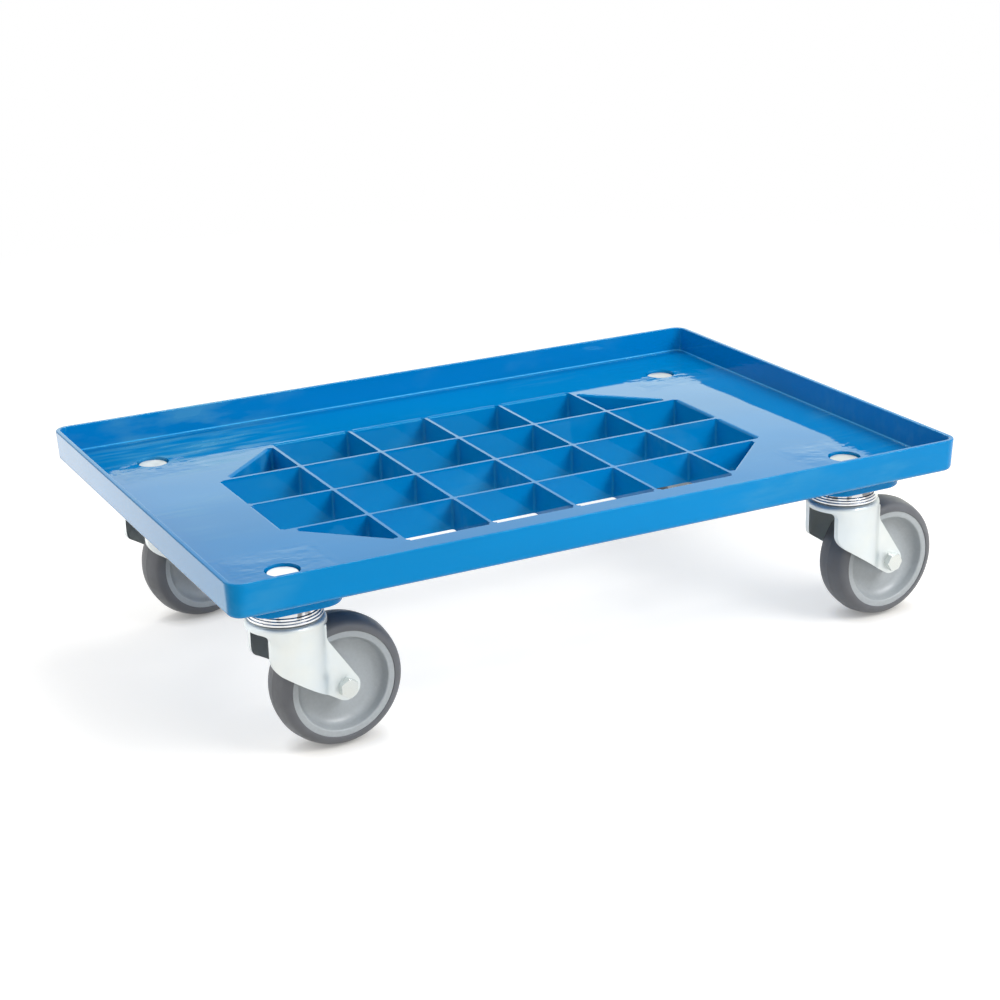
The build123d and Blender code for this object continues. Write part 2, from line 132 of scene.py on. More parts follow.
# Lowest and highest shares of a roughness, and of each channel of the plating's colour
GLOSS_SPREAD = (0.7, 1.6)
SATIN_SPREAD = (0.85, 1.2)
BRIGHT_SPREAD = (0.8, 1.3)
COOL_BLOOM = (0.965, 1.0, 1.012)
WARM_BLOOM = (1.015, 1.01, 0.965)

PLASTIC_IOR = 1.5
RUBBER_IOR = 1.52

# Stage: the floor's half side, its room under the tyres, the card's height, film width and near end
FLOOR_REACH = 12.0
FLOOR_DROP = 0.05 * MM
CARD_LIFT = 1.0 * MM
FILM_WIDTH = 36.0
NEAR_END = 0.01
SHADE_SAMPLES = 8
WHITE = (1.0, 1.0, 1.0, 1.0)


# Settings
def length_property(name, description, default):
    """A size in metres that the panel shows."""
    return FloatProperty(
        name=name, description=description, default=default, min=0.0, precision=5, unit="LENGTH"
    )


def share_property(name, description, default):
    """A value between nought and one."""
    return FloatProperty(name=name, description=description, default=default, min=0.0, max=1.0)


def power_property(name, description, default):
    """A lamp's power in watts."""
    return FloatProperty(name=name, description=description, default=default, min=0.0, unit="POWER")


def count_property(name, description, default, fewest, most):
    """A whole number of steps or rings."""
    return IntProperty(name=name, description=description, default=default, min=fewest, max=most)


def colour_property(name, description, default):
    """A linear colour that the panel shows."""
    return FloatVectorProperty(
        name=name, description=description, default=default, min=0.0, max=1.0, subtype="COLOR"
    )


def place_property(name, description, default):
    """A point in the frame's axes."""
    return FloatVectorProperty(
        name=name, description=description, default=default, subtype="XYZ", unit="LENGTH"
    )


def pair_property(name, description, default, **kind):
    """Two values that belong together."""
    return FloatVectorProperty(name=name, description=description, default=default, size=2, **kind)


def levels_property(name, description, default):
    """Two heights in the frame's axes."""
    return pair_property(name, description, default, precision=5, unit="LENGTH")


class DeckSettings(bpy.types.PropertyGroup):
    """Sizes and colours of the moulded deck."""

    blue: colour_property("Blue", "Colour of the moulded plastic", (0.0, 0.224, 0.568))
    # Scuffed patches: their paler colour is wear, and in the worn place near the floor's rear left it is also
    # a painted reflection of the bright background
    scuff_and_reflection_colour: colour_property("Scuff shade", "Colour of the scuffed patches", (0.05, 0.299, 0.558))
    gloss_tint: colour_property("Gloss tint", "Tint of what the plastic mirrors head on", (0.1, 0.35, 0.3))
    edge_round: length_property("Edge rounding", "Rounding of the moulding's edges", 0.35 * MM)
    edge_steps: count_property("Edge steps", "Faces across each rounded edge", 2, 1, 6)
    gloss: share_property("Roughness", "Roughness of the floor and rim", 0.022)
    scuff: share_property("Scuffs", "Roughness of the scuffed patches", 0.3)
    # Worn place: where the scuffs and their painted reflection are strongest
    worn_and_reflection_place: place_property("Worn place", "Middle of the most scuffed part", (-0.2, 0.18, 0.005))
    worn_and_reflection_reach: length_property("Worn reach", "How far the most scuffed part reaches", 0.11)
    ripple: length_property("Ripple", "Height of the sink marks over the castor seats", 0.5 * MM)
    wave: length_property("Waves", "Height of the slow waves in the moulding", 0.45 * MM)
    scratch: length_property("Scratches", "Depth of the fine scratches", 0.0075 * MM)
    crown: pair_property("Crown", "Bow of the floor along and across the deck, per metre", (0.0125, 0.06))
    # Painted highlight: a pale line in the plastic's colour along the rounding at the rim's foot, in place of
    # the light it mirrors
    foot_highlight_level: length_property("Foot level", "Height of the pale line along the foot of the rim", 0.75 * MM)
    foot_highlight_colour: colour_property("Foot shade", "Colour of the pale line at the rim's foot", (0.05, 0.42, 0.8))
    rim_inset: length_property("Rim inset", "From the rim's outside to the middle of its wall", 2.7 * MM)
    corner_bend: length_property("Corner bend", "Radius of the rim's corners, on the outside", 12.0 * MM)
    seat_half: length_property("Seat half", "Half the side of the castor seats under the floor", 36.0 * MM)


class CastorSettings(bpy.types.PropertyGroup):
    """Sizes and colours of the castors."""

    zinc: colour_property("Zinc", "Colour of the plated sheet", (0.71, 0.74, 0.755))
    satin: share_property("Fork roughness", "Roughness of the fork's sheet", 0.5)
    fastener: colour_property("Fasteners", "Colour of the plated bolts and nuts", (0.64, 0.66, 0.655))
    fastener_roughness: pair_property("Fastener roughness", "Of bright and of dull fasteners", (0.2, 0.45))
    worn_levels: levels_property(
        "Worn levels",
        "Heights between which the fasteners turn from bright to dull",
        (-60.0 * MM, -40.0 * MM),
    )
    bright: colour_property("Bright zinc", "Colour of the polished swivel head", (0.8, 0.81, 0.82))
    bright_roughness: pair_property("Cup roughness", "Of the cup's rings and of its side", (0.3, 0.08))
    ring_levels: levels_property(
        "Ring levels",
        "Heights between which the cups turn from satin to polished",
        (-29.5 * MM, -27.5 * MM),
    )
    drawn_wave: length_property("Drawn waves", "Height of the waves in the polished cups", 0.3 * MM)
    steel: colour_property("Steel", "Colour of the balls and sleeves", (0.62, 0.62, 0.64))
    steel_roughness: pair_property("Steel roughness", "Lowest and highest, on balls and sleeves", (0.1, 0.28))
    rubber: colour_property("Rubber", "Colour of the tyres", (0.113, 0.119, 0.132))
    rubber_roughness: pair_property("Rubber roughness", "Lowest and highest, on the tyres", (0.4, 0.52))
    centre: colour_property("Wheel centre", "Colour of the wheel centres", (0.375, 0.405, 0.425))
    centre_roughness: pair_property("Centre roughness", "Lowest and highest, on wheel centres", (0.3, 0.42))
    bush: colour_property("Bush", "Colour of the hub bushes", (0.7, 0.7, 0.68))
    bush_roughness: pair_property("Bush roughness", "Lowest and highest, on the hub bushes", (0.35, 0.5))
    sheet_round: length_property("Sheet edge", "Rounding of the pressed sheet's edges", 0.45 * MM)
    fastener_round: length_property("Fastener edge", "Rounding of the edges of bolts and nuts", 0.25 * MM)
    round_steps: count_property("Edge steps", "Faces across a rounded edge", 2, 1, 6)
    spin_steps: count_property("Spin steps", "Steps around a wheel or a cup", 128, 24, 256)
    cup_top: length_property("Cup top", "Radius of the cup's flat top", 23.6 * MM)
    cup_foot: length_property("Cup foot", "Radius at the foot of the cup's side", 24.7 * MM)
    cup_wall: length_property("Cup wall", "Height of the cup's side", 7.0 * MM)
    cup_bend: length_property("Cup bend", "Rounding of the cup's top edge", 2.6 * MM)
    cup_crease: length_property("Cup crease", "Rounding of the creases between the cup's rings", 0.25 * MM)
    cup_rings: count_property("Cup rings", "Rings stepped out below the cup's side", 3, 1, 5)
    ring_round: share_property("Ring rounding", "Share of each ring's step taken by its rounding", 0.85)
    cup_inner: length_property("Cup inner", "How far the cup narrows inside towards its top", 3.5 * MM)
    cup_flare: length_property("Cup flare", "How far the cup widens inside at its foot", 1.0 * MM)
    cup_sheet: length_property("Cup sheet", "Thickness of the cup's sheet", 2.5 * MM)
    bolt_bore: length_property("Bolt bore", "Radius of the cup's hole", 5.2 * MM)
    wheel_radius: length_property("Wheel radius", "Radius of the tread's crown", 50.0 * MM)
    tyre_width: length_property("Tyre width", "Width across the tyre", 32.6 * MM)
    tyre_thickness: length_property("Tyre thickness", "From the rim to the crown of the tread", 9.4 * MM)
    tread_line: length_property("Tread lines", "Spacing of the fine lines around the tread", 1.3 * MM)
    tread_crown: length_property("Tread crown", "Fall of the tread from its crown to its edge", 4.0 * MM)
    tread_blend: share_property("Tread blend", "Share of the half width that rounds the tread's middle", 0.24)
    shoulder: length_property("Shoulder", "Length along the side wall taken by its rounding", 4.5 * MM)
    bead_edge: length_property("Bead edge", "Rounding of the tyre's edge at the rim", 0.4 * MM)
    seam_height: length_property("Mould line", "Height of the mould line around the tread", 0.12 * MM)
    seam_half: length_property("Mould line half", "Half the width of the mould line's foot", 0.35 * MM)
    rim_step: length_property("Rim step", "How far the rim sits inside the tyre's side", 0.7 * MM)
    flange_width: length_property("Flange width", "Flat face of the rim", 4.9 * MM)
    mouth_edge: length_property("Mouth edge", "Rounding of the flange's inner edge", 1.1 * MM)
    web: length_property("Web", "Thickness of the wheel's disc", 10.2 * MM)
    recess_slope: length_property("Recess slope", "How far the recess narrows towards the disc", 2.6 * MM)
    recess_round: length_property("Recess rounding", "Tangent length at the foot of the hub", 7.0 * MM)
    flank_round: length_property("Flank rounding", "Tangent length at the foot of the rim", 5.5 * MM)
    hub_bore: length_property("Hub bore", "Radius of the hub's bore", 8.06 * MM)
    hub_radius: length_property("Hub radius", "Outside radius of the hub", 10.06 * MM)
    hub_half: length_property("Hub half length", "From the wheel's middle to the hub's end", 15.8 * MM)
    hub_edge: length_property("Hub edge", "Rounding of the hub's end", 0.5 * MM)


class StageSettings(bpy.types.PropertyGroup):
    """Camera, floor and lights."""

    lens: FloatProperty(
        name="Lens",
        description="Focal length in millimetres",
        default=75.66,
        min=10.0,
        max=300.0,
        unit="CAMERA",
    )
    camera_place: place_property("Camera place", "Where the camera stands", (-0.73365, -1.43477, 0.53529))
    camera_turn: FloatVectorProperty(
        name="Camera turn",
        description="How the camera is turned",
        default=(math.radians(70.5), math.radians(1.29), math.radians(-27.632)),
        subtype="EULER",
    )
    floor_tone: share_property("Floor", "Tone of the floor that lights the object", 0.9)
    floor_shade: share_property("Floor shade", "Tone of the part of the floor that takes a shadow", 0.55)
    floor_glow: share_property("Floor glow", "Share of the floor's white that no lamp's shadow takes", 0.8)
    floor_tint: colour_property("Floor tint", "Share of each colour given back", (1.0, 0.965, 0.9))
    contact_reach: length_property("Contact reach", "How far the wheels' feet darken the floor", 15.0 * MM)
    contact_shade: share_property("Contact shade", "Share of the floor's white lost at the feet", 0.65)
    roof_reach: length_property("Roof reach", "How far above the floor the deck still shades it", 0.3)
    roof_shade: share_property("Roof shade", "Share of the floor's white lost under a deck", 0.35)
    fade: pair_property("Fade", "From and to where the floor turns plain white", (0.55, 1.6), unit="LENGTH")
    key_place: place_property("Key place", "Where the key light hangs, at the front right", (1.3, -1.9, 1.9))
    key_size: length_property("Key size", "Side of the key light", 1.5)
    key_power: power_property("Key light", "Power of the key light", 64.0)
    core_size: length_property("Key core size", "Side of the key light's bright middle", 0.45)
    core_power: power_property("Key core", "Power of the key light's bright middle, only mirrored", 4.0)
    fill_place: place_property("Fill place", "Where the fill light stands, low in front", (-0.2, -2.6, 0.35))
    fill_size: length_property("Fill size", "Side of the fill light", 2.0)
    fill_power: power_property("Fill light", "Power of the fill light, never mirrored", 18.0)
    top_place: place_property("Top place", "Where the top light hangs, above and behind", (0.3, 0.9, 1.35))
    top_size: length_property("Top size", "Side of the top light", 0.5)
    top_power: power_property("Top light", "Power of the top light", 8.0)
    left_place: place_property("Left place", "Where the left light hangs", (-1.9, 0.3, 0.9))
    left_size: length_property("Left size", "Side of the left light", 1.2)
    left_power: power_property("Left light", "Power of the left light", 6.5)
    card_place: pair_property("Card place", "Where the gloss card lies", (-0.75, 0.42), unit="LENGTH")
    card_size: length_property("Card size", "Side of the gloss card", 0.75)
    card_power: power_property("Gloss card", "Power of the gloss card, only mirrored", 1.4)
    world_level: share_property("World", "Light from all around", 0.31)
    sheen: colour_property("Sheen", "How much brighter the rear is mirrored", (0.72, 0.78, 0.5))
    sheen_heading: FloatVectorProperty(
        name="Sheen heading",
        description="Where the mirrored background is brightest",
        default=(0.45, 0.89, 0.0),
        subtype="DIRECTION",
    )
    sheen_spread: pair_property("Sheen spread", "Cosines off the heading between which it grows", (0.6, 0.85))
    sheen_rise: pair_property("Sheen rise", "Sines of the heights between which it fades", (0.44, 0.22))


# Materials
class Nodes:
    """Short calls for the nodes of a tree; an input is linked if it is a socket, and set if it is a value."""

    def __init__(self, tree):
        self.tree = tree
        self.tree.nodes.clear()

    def put(self, socket, value):
        """Links or sets one input."""
        if isinstance(value, bpy.types.NodeSocket):
            self.tree.links.new(value, socket)
        else:
            socket.default_value = value

    def node(self, kind, inputs, **settings):
        """A node with its settings made and its inputs linked or set."""
        node = self.tree.nodes.new(kind)
        for key, value in settings.items():
            setattr(node, key, value)
        for key, value in inputs.items():
            self.put(node.inputs[key], value)
        return node

    def maths(self, operation, first, second=0.0):
        """A sum on one or two values."""
        return self.node("ShaderNodeMath", {0: first, 1: second}, operation=operation).outputs["Value"]

    def vectors(self, operation, first, second=(0.0, 0.0, 0.0), result="Vector"):
        """A sum on one or two vectors."""
        return self.node("ShaderNodeVectorMath", {0: first, 1: second}, operation=operation).outputs[result]

    def sides(self, vector):
        """A vector's sides along X, Y and Z."""
        return self.node("ShaderNodeSeparateXYZ", {"Vector": vector}).outputs

    def span(self, value, low, high, start=0.3, end=0.7, **settings):
        """A value mapped from start and end, or from the range that noise mostly fills, to low and high."""
        inputs = {"Value": value, "From Min": start, "From Max": end, "To Min": low, "To Max": high}
        return self.node("ShaderNodeMapRange", inputs, **settings).outputs["Result"]


class Finish(Nodes):
    """A procedural material on Object coordinates."""

    def __init__(self, name):
        self.material = bpy.data.materials.new(name)
        self.material.use_nodes = True
        super().__init__(self.material.node_tree)
        self.shader = self.node("ShaderNodeBsdfPrincipled", {})
        self.node("ShaderNodeOutputMaterial", {"Surface": self.shader.outputs["BSDF"]})
        self.place = self.node("ShaderNodeTexCoord", {}).outputs["Object"]

    def set(self, **inputs):
        """Links or sets the shader's own sockets; an underscore stands for a space."""
        for key, value in inputs.items():
            self.put(self.shader.inputs[key.replace("_", " ")], value)

    def level(self):
        """The height of a point in the frame."""
        return self.sides(self.place)["Z"]

    def noise(self, scale, detail, stretch=None):
        """Noise, with its pattern stretched along the axes if asked."""
        place = self.place
        if stretch:
            place = self.node("ShaderNodeMapping", {"Vector": place, "Scale": stretch}).outputs["Vector"]
        inputs = {"Vector": place, "Scale": scale, "Detail": detail}
        return self.node("ShaderNodeTexNoise", inputs).outputs["Fac"]

    def shades(self, value, dark, light):
        """A colour between two shades."""
        node = self.node("ShaderNodeMix", {"Factor": value}, data_type="RGBA")
        sockets = [socket for socket in node.inputs if socket.type == "RGBA"]
        for socket, colour in zip(sockets, (dark, light)):
            self.put(socket, colour if isinstance(colour, bpy.types.NodeSocket) else (*colour, 1.0))
        return next(socket for socket in node.outputs if socket.type == "RGBA")

    def clouded(self, cloud, colour, darkest, lightest, *edge):
        """A colour that varies between two shares of itself."""
        share = self.span(cloud, 0.0, 1.0, *edge)
        return self.shades(share, tinted(colour, darkest), tinted(colour, lightest))

    def bump(self, height, distance, under=None):
        """A bumped normal, on top of another if one is given."""
        inputs = {"Height": height, "Distance": distance, "Strength": 1.0}
        if under:
            inputs["Normal"] = under
        return self.node("ShaderNodeBump", inputs).outputs["Normal"]


def tinted(colour, factor):
    """A colour made darker or lighter."""
    return tuple(min(1.0, channel * factor) for channel in colour)


def shares_of(size, shares):
    """A size times each of two shares."""
    return [size * share for share in shares]


def quarter_offset(finish, place):
    """How far a point lies past a place along each axis, with the deck's four corners folded onto one."""
    folded = finish.vectors("ABSOLUTE", finish.place)
    return finish.vectors("SUBTRACT", folded, (abs(place[0]), abs(place[1]), 0.0))


def rim_foot_highlight(finish, settings):
    """Mask of the painted highlight: one along the rounding at the foot of the rim, inside the tray, and
    nought elsewhere.
    """
    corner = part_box("deck")[1]
    bend = settings.corner_bend
    past_bend = finish.vectors("MAXIMUM", quarter_offset(finish, (corner.x - bend, corner.y - bend)))
    reach = finish.vectors("LENGTH", past_bend, result="Value")
    inside = finish.maths("LESS_THAN", reach, bend - settings.rim_inset)
    off_level = finish.maths("ABSOLUTE", finish.maths("SUBTRACT", finish.level(), settings.foot_highlight_level))
    near_foot_highlight = finish.span(off_level, 1.0, 0.0, *shares_of(settings.foot_highlight_level, FOOT_HIGHLIGHT_FADE))
    return finish.maths("MULTIPLY", near_foot_highlight, inside)


def seat_marks(finish, settings):
    """Height of the sink marks where the castor seats stand under the floor."""
    half = settings.seat_half
    beside = quarter_offset(finish, swivel_joints["fork_front_right"]["pos_m"])
    sides = finish.sides(finish.vectors("ABSOLUTE", beside))
    apart = finish.maths("MAXIMUM", sides["X"], sides["Y"])
    over_seat = finish.span(apart, 1.0, 0.0, *shares_of(half, SEAT_FADE))
    wave = finish.maths("MULTIPLY", over_seat, finish.noise(*SEAT_WAVES))
    from_wall = finish.maths("ABSOLUTE", finish.maths("SUBTRACT", apart, half))
    groove = finish.span(from_wall, -GROOVE_DEPTH, 0.0, *shares_of(half, GROOVE_FADE))
    broken = finish.span(finish.noise(*BROKEN_GROOVES), 0.0, 1.0, *LINE_EDGE)
    return finish.maths("ADD", wave, finish.maths("MULTIPLY", groove, broken))


def scuff_and_reflection_marks(finish, settings):
    """How scuffed the plastic is, from nought to one: rubbed lines in patches and in the worn place. The mask
    sets roughness and a paler colour; in the worn place that colour is also a painted reflection of the
    bright background.
    """
    patches = finish.span(finish.noise(*SCUFF_PATCHES), 0.0, PATCH_STRENGTH, *PATCH_EDGE)
    away = finish.vectors("DISTANCE", finish.place, settings.worn_and_reflection_place, result="Value")
    worn = finish.span(away, 1.0, 0.0, *shares_of(settings.worn_and_reflection_reach, WORN_FADE))
    rubbed = finish.span(finish.noise(*RUBBED_LINES), 0.0, 1.0, *LINE_EDGE)
    return finish.maths("MULTIPLY", finish.maths("MAXIMUM", patches, worn), rubbed)


def floor_bow(finish, settings):
    """Height of the bowed floor: it falls with the square of the way from its middle."""
    along, across = (math.sqrt(bow) for bow in settings.crown)
    bowed = finish.vectors("MULTIPLY", finish.place, (along, across, 0.0))
    return finish.maths("MULTIPLY", finish.vectors("DOT_PRODUCT", bowed, bowed, result="Value"), -1.0)


def blue_plastic(settings):
    """Glossy moulded plastic: flow marks, scuffs, a bowed floor, sink marks over the castor seats, and a
    painted highlight along the rim's foot; the scuffs' paler colour is wear, and in the worn place also a
    painted reflection.
    """
    finish = Finish("blue_plastic_finish")
    scuffs = scuff_and_reflection_marks(finish, settings)
    flow = finish.noise(*FLOW_MARKS)
    moulded = finish.clouded(flow, settings.blue, 0.95, 1.07, *FLOW_EDGE)
    # Partly painted reflection: the scuffs' paler colour is wear, and in the worn place it also stands for
    # the bright background mirrored there
    scuffed = finish.shades(scuffs, moulded, settings.scuff_and_reflection_colour)
    # Painted highlight: the rim's foot gets a pale colour in place of the light its rounding mirrors
    finish.set(Base_Color=finish.shades(rim_foot_highlight(finish, settings), scuffed, settings.foot_highlight_colour))
    smear = finish.span(finish.noise(*GLOSS_SMEARS), *shares_of(settings.gloss, GLOSS_SPREAD))
    finish.set(Roughness=finish.maths("MAXIMUM", smear, finish.maths("MULTIPLY", scuffs, settings.scuff)))
    crowned = finish.bump(floor_bow(finish, settings), 1.0)
    sunk = finish.bump(seat_marks(finish, settings), settings.ripple, crowned)
    wavy = finish.bump(finish.noise(*FLOOR_WAVES), settings.wave, sunk)
    scratched = finish.bump(finish.noise(*FINE_SCRATCHES), settings.scratch, wavy)
    grained = finish.bump(finish.noise(*MOULD_GRAIN), MOULD_GRAIN_HEIGHT, scratched)
    finish.set(Normal=grained, IOR=PLASTIC_IOR, Specular_Tint=(*settings.gloss_tint, 1.0))
    return finish.material


def plated(name, colour):
    """Zinc plating with a faint bloom of cool and warm tints; its roughness is still to be set."""
    finish = Finish(name)
    cool = tuple(channel * share for channel, share in zip(colour, COOL_BLOOM))
    warm = tuple(channel * share for channel, share in zip(colour, WARM_BLOOM))
    bloom = finish.span(finish.noise(*PLATING_BLOOM), 0.0, 1.0)
    finish.set(Base_Color=finish.shades(bloom, cool, warm), Metallic=1.0)
    finish.set(Normal=finish.bump(finish.noise(*PLATING_GRAIN), PLATING_GRAIN_HEIGHT))
    return finish


def zinc_plate(settings):
    """Plated pressed sheet with a cloudy satin skin."""
    finish = plated("zinc_plate_finish", settings.zinc)
    cloudy = finish.span(finish.noise(*SATIN_CLOUDS), *shares_of(settings.satin, SATIN_SPREAD))
    finish.set(Roughness=cloudy)
    return finish.material


def fastener_zinc(settings):
    """Plated bolts and nuts: the heads in the floor are dull, the axle heads keep their shine."""
    finish = plated("fastener_zinc_finish", settings.fastener)
    dull = finish.span(finish.level(), *settings.fastener_roughness, *settings.worn_levels)
    cloudy = finish.span(finish.noise(*FASTENER_CLOUDS), *SATIN_SPREAD)
    finish.set(Roughness=finish.maths("MULTIPLY", dull, cloudy))
    return finish.material


def bright_zinc(settings):
    """Polished plating of the swivel head, with the fine upright waves of a deep-drawn pressing and dark
    upright streaks painted into its colour as reflections of darker surroundings, faint on the rings.
    """
    finish = Finish("bright_zinc_finish")
    level = finish.level()
    clean = finish.clouded(finish.noise(*BRIGHT_CLOUDS), settings.bright, darkest=0.96, lightest=1.03)
    # Painted reflection: dark streaks on the cup's side, fainter on its rings
    reflection_streaks = finish.span(finish.noise(*REFLECTION_STREAKS), 0.0, STREAK_STRENGTH, *STREAK_EDGE)
    upward = finish.span(level, STREAK_ON_RINGS, 1.0, *settings.ring_levels)
    painted_reflections = finish.maths("MULTIPLY", reflection_streaks, upward)
    dark = tinted(settings.bright, STREAK_SHADE)
    finish.set(Base_Color=finish.shades(painted_reflections, clean, dark), Metallic=1.0)
    dull = finish.span(level, *settings.bright_roughness, *settings.ring_levels)
    smeared = finish.span(finish.noise(*BRIGHT_SMEARS), *BRIGHT_SPREAD)
    finish.set(Roughness=finish.maths("MULTIPLY", dull, smeared))
    finish.set(Normal=finish.bump(finish.noise(*DRAWN_WAVES), settings.drawn_wave))
    return finish.material


def ball_steel(settings):
    """Ground steel of the balls and sleeves, with a film of grease."""
    finish = Finish("ball_steel_finish")
    film = finish.noise(*GREASE_FILM)
    finish.set(Base_Color=finish.clouded(film, settings.steel, darkest=0.85, lightest=1.0))
    finish.set(Roughness=finish.span(film, *settings.steel_roughness), Metallic=1.0)
    return finish.material


def grey_rubber(settings):
    """Grey tyre rubber: matt, with fine lines around the tread and a fine moulded grain."""
    finish = Finish("grey_rubber_finish")
    cloud = finish.noise(*RUBBER_CLOUDS)
    finish.set(Base_Color=finish.clouded(cloud, settings.rubber, darkest=0.92, lightest=1.08))
    smear = finish.noise(*RUBBER_SMEARS)
    finish.set(Roughness=finish.span(smear, *settings.rubber_roughness), IOR=RUBBER_IOR)
    across = finish.node("ShaderNodeAttribute", {}, attribute_name=ACROSS).outputs["Fac"]
    lines = finish.maths("SINE", finish.maths("MULTIPLY", across, 2 * math.pi / settings.tread_line))
    ringed = finish.bump(lines, TREAD_LINE_HEIGHT)
    finish.set(Normal=finish.bump(finish.noise(*RUBBER_GRAIN), RUBBER_GRAIN_HEIGHT, ringed))
    return finish.material


def grey_plastic(settings):
    """Grey wheel-centre plastic with a satin, faintly speckled moulded skin."""
    finish = Finish("grey_plastic_finish")
    speckle = finish.noise(*CENTRE_SPECKLE)
    finish.set(Base_Color=finish.clouded(speckle, settings.centre, darkest=0.96, lightest=1.04))
    smear = finish.noise(*CENTRE_SMEARS)
    finish.set(Roughness=finish.span(smear, *settings.centre_roughness), IOR=PLASTIC_IOR)
    finish.set(Normal=finish.bump(finish.noise(*CENTRE_GRAIN), CENTRE_GRAIN_HEIGHT))
    return finish.material


def bush_plastic(settings):
    """Pale bearing plastic of the hub bushes."""
    finish = Finish("bush_plastic_finish")
    cloud = finish.noise(*BUSH_CLOUDS)
    finish.set(Base_Color=finish.clouded(cloud, settings.bush, darkest=0.93, lightest=1.0))
    finish.set(Roughness=finish.span(cloud, *settings.bush_roughness))
    return finish.material


MAKERS = {
    "blue_plastic": blue_plastic,
    "zinc_plate": zinc_plate,
    "fastener_zinc": fastener_zinc,
    "bright_zinc": bright_zinc,
    "ball_steel": ball_steel,
    "grey_rubber": grey_rubber,
    "grey_plastic": grey_plastic,
    "bush_plastic": bush_plastic,
}


def finish_for(finish, settings):
    """A finish by its name, made the first time it is asked for."""
    return bpy.data.materials.get(f"{finish}_finish") or MAKERS[finish](settings)


# Meshes
def merged_copy(node):
    """A mesh in the making with a CAD node's shape, its loose triangles merged and its flats joined."""
    shape = bmesh.new()
    shape.from_mesh(frame["nodes"][node].data)
    bmesh.ops.remove_doubles(shape, verts=shape.verts, dist=MERGE_DISTANCE)
    bmesh.ops.dissolve_limit(
        shape, angle_limit=FLAT_ANGLE, verts=shape.verts, edges=shape.edges, use_dissolve_boundaries=False
    )
    return shape


def bevel(shape, geom, size, steps, affect):
    """Rounds edges, or the corners of a flat profile."""
    bmesh.ops.bevel(
        shape,
        geom=geom,
        offset=size,
        offset_type="OFFSET",
        segments=steps,
        profile=0.5,
        affect=affect,
        clamp_overlap=True,
        material=-1,
    )


def round_edges(shape, size, steps):
    """Rounds every sharp edge of a shape."""
    sharp = [edge for edge in shape.edges if edge.is_manifold and edge.calc_face_angle(0.0) > SHARP_ANGLE]
    bevel(shape, sharp, size, steps, "EDGES")


def spun(profile, steps):
    """A closed ring spun about Z from corners: radius, height, and a rounding's size and steps, or SQUARE."""
    shape = bmesh.new()
    corners = [shape.verts.new((radius, 0.0, height)) for radius, height, _ in profile]
    shape.faces.new(corners)
    for corner, (*_, rounding) in zip(corners, profile):
        if rounding is not SQUARE:
            bevel(shape, [corner], *rounding, "VERTICES")
    outline = list(shape.edges)
    bmesh.ops.delete(shape, geom=list(shape.faces), context="FACES_ONLY")
    bmesh.ops.spin(
        shape,
        geom=outline + list(shape.verts),
        cent=(0.0, 0.0, 0.0),
        axis=UP,
        dvec=(0.0, 0.0, 0.0),
        angle=2 * math.pi,
        steps=steps,
        use_merge=True,
        use_duplicate=False,
    )
    bmesh.ops.remove_doubles(shape, verts=shape.verts, dist=MERGE_DISTANCE)
    bmesh.ops.recalc_face_normals(shape, faces=shape.faces)
    across = shape.verts.layers.float.new(ACROSS)
    for vert in shape.verts:
        vert[across] = vert.co.z
    return shape


def wheel_ring(upper, castor, steps):
    """A ring spun from half a profile and its mirror, moved onto a wheel's axle."""
    lower = [(radius, -height, rounding) for radius, height, rounding in reversed(upper)]
    shape = spun(upper + lower, steps)
    joint = roll_joints[f"wheel_{castor}"]
    turn = UP.rotation_difference(Vector(joint["axis"])).to_matrix().to_4x4()
    bmesh.ops.transform(shape, matrix=Matrix.Translation(joint["pos_m"]) @ turn, verts=shape.verts)
    return shape


def add_object(name, shape):
    """An object at the origin with a finished shape."""
    mesh = bpy.data.meshes.new(name)
    shape.to_mesh(mesh)
    shape.free()
    added = bpy.data.objects.new(name, mesh)
    bpy.context.scene.collection.objects.link(added)
    return added


def add_piece(name, shape, body, slot, settings, nodes, finish=None):
    """A piece from a finished shape, riding on its body in place of its CAD nodes."""
    piece = add_object(name, shape)
    mesh = piece.data
    for face in mesh.polygons:
        face.use_smooth = True
    mesh.set_sharp_from_angle(angle=SHARP_ANGLE)
    weighted = piece.modifiers.new("weighted_normals", "WEIGHTED_NORMAL")
    weighted.keep_sharp = True
    mesh.materials.append(finish_for(finish or slot, settings))
    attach(piece, body)
    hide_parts(*nodes)


def add_pressed(name, node, body, slot, settings):
    """A pressed piece: its CAD node with soft sheet edges."""
    shape = merged_copy(node)
    round_edges(shape, settings.sheet_round, settings.round_steps)
    add_piece(name, shape, body, slot, settings, [node])


def add_fastener(name, node, body, settings):
    """A bolt or nut: its CAD node with fine rounded edges."""
    shape = merged_copy(node)
    round_edges(shape, settings.fastener_round, settings.round_steps)
    add_piece(name, shape, body, "zinc_plate", settings, [node], "fastener_zinc")


def dress_node(node, slot, settings):
    """A CAD node that keeps its shape gets its finish."""
    mesh = frame["nodes"][node].data
    mesh.materials.clear()
    mesh.materials.append(finish_for(slot, settings))


# Pieces
class DOLLY_OT_deck(bpy.types.Operator):
    """Model the moulded deck with rounded edges"""

    bl_idname = "dolly.deck"
    bl_label = "Deck"

    def execute(self, context):
        settings = context.scene.dolly_deck
        shape = merged_copy("deck")
        round_edges(shape, settings.edge_round, settings.edge_steps)
        add_piece("deck_moulding", shape, "deck", "blue_plastic", settings, ["deck"])
        return {"FINISHED"}


class DOLLY_OT_castor_bolts(bpy.types.Operator):
    """Model the bolts and nuts that hold the castors"""

    bl_idname = "dolly.castor_bolts"
    bl_label = "Castor bolts"

    def execute(self, context):
        for node in ("castor_bolts", "castor_nuts"):
            add_fastener(f"{node}_plated", node, "deck", context.scene.dolly_castor)
        return {"FINISHED"}


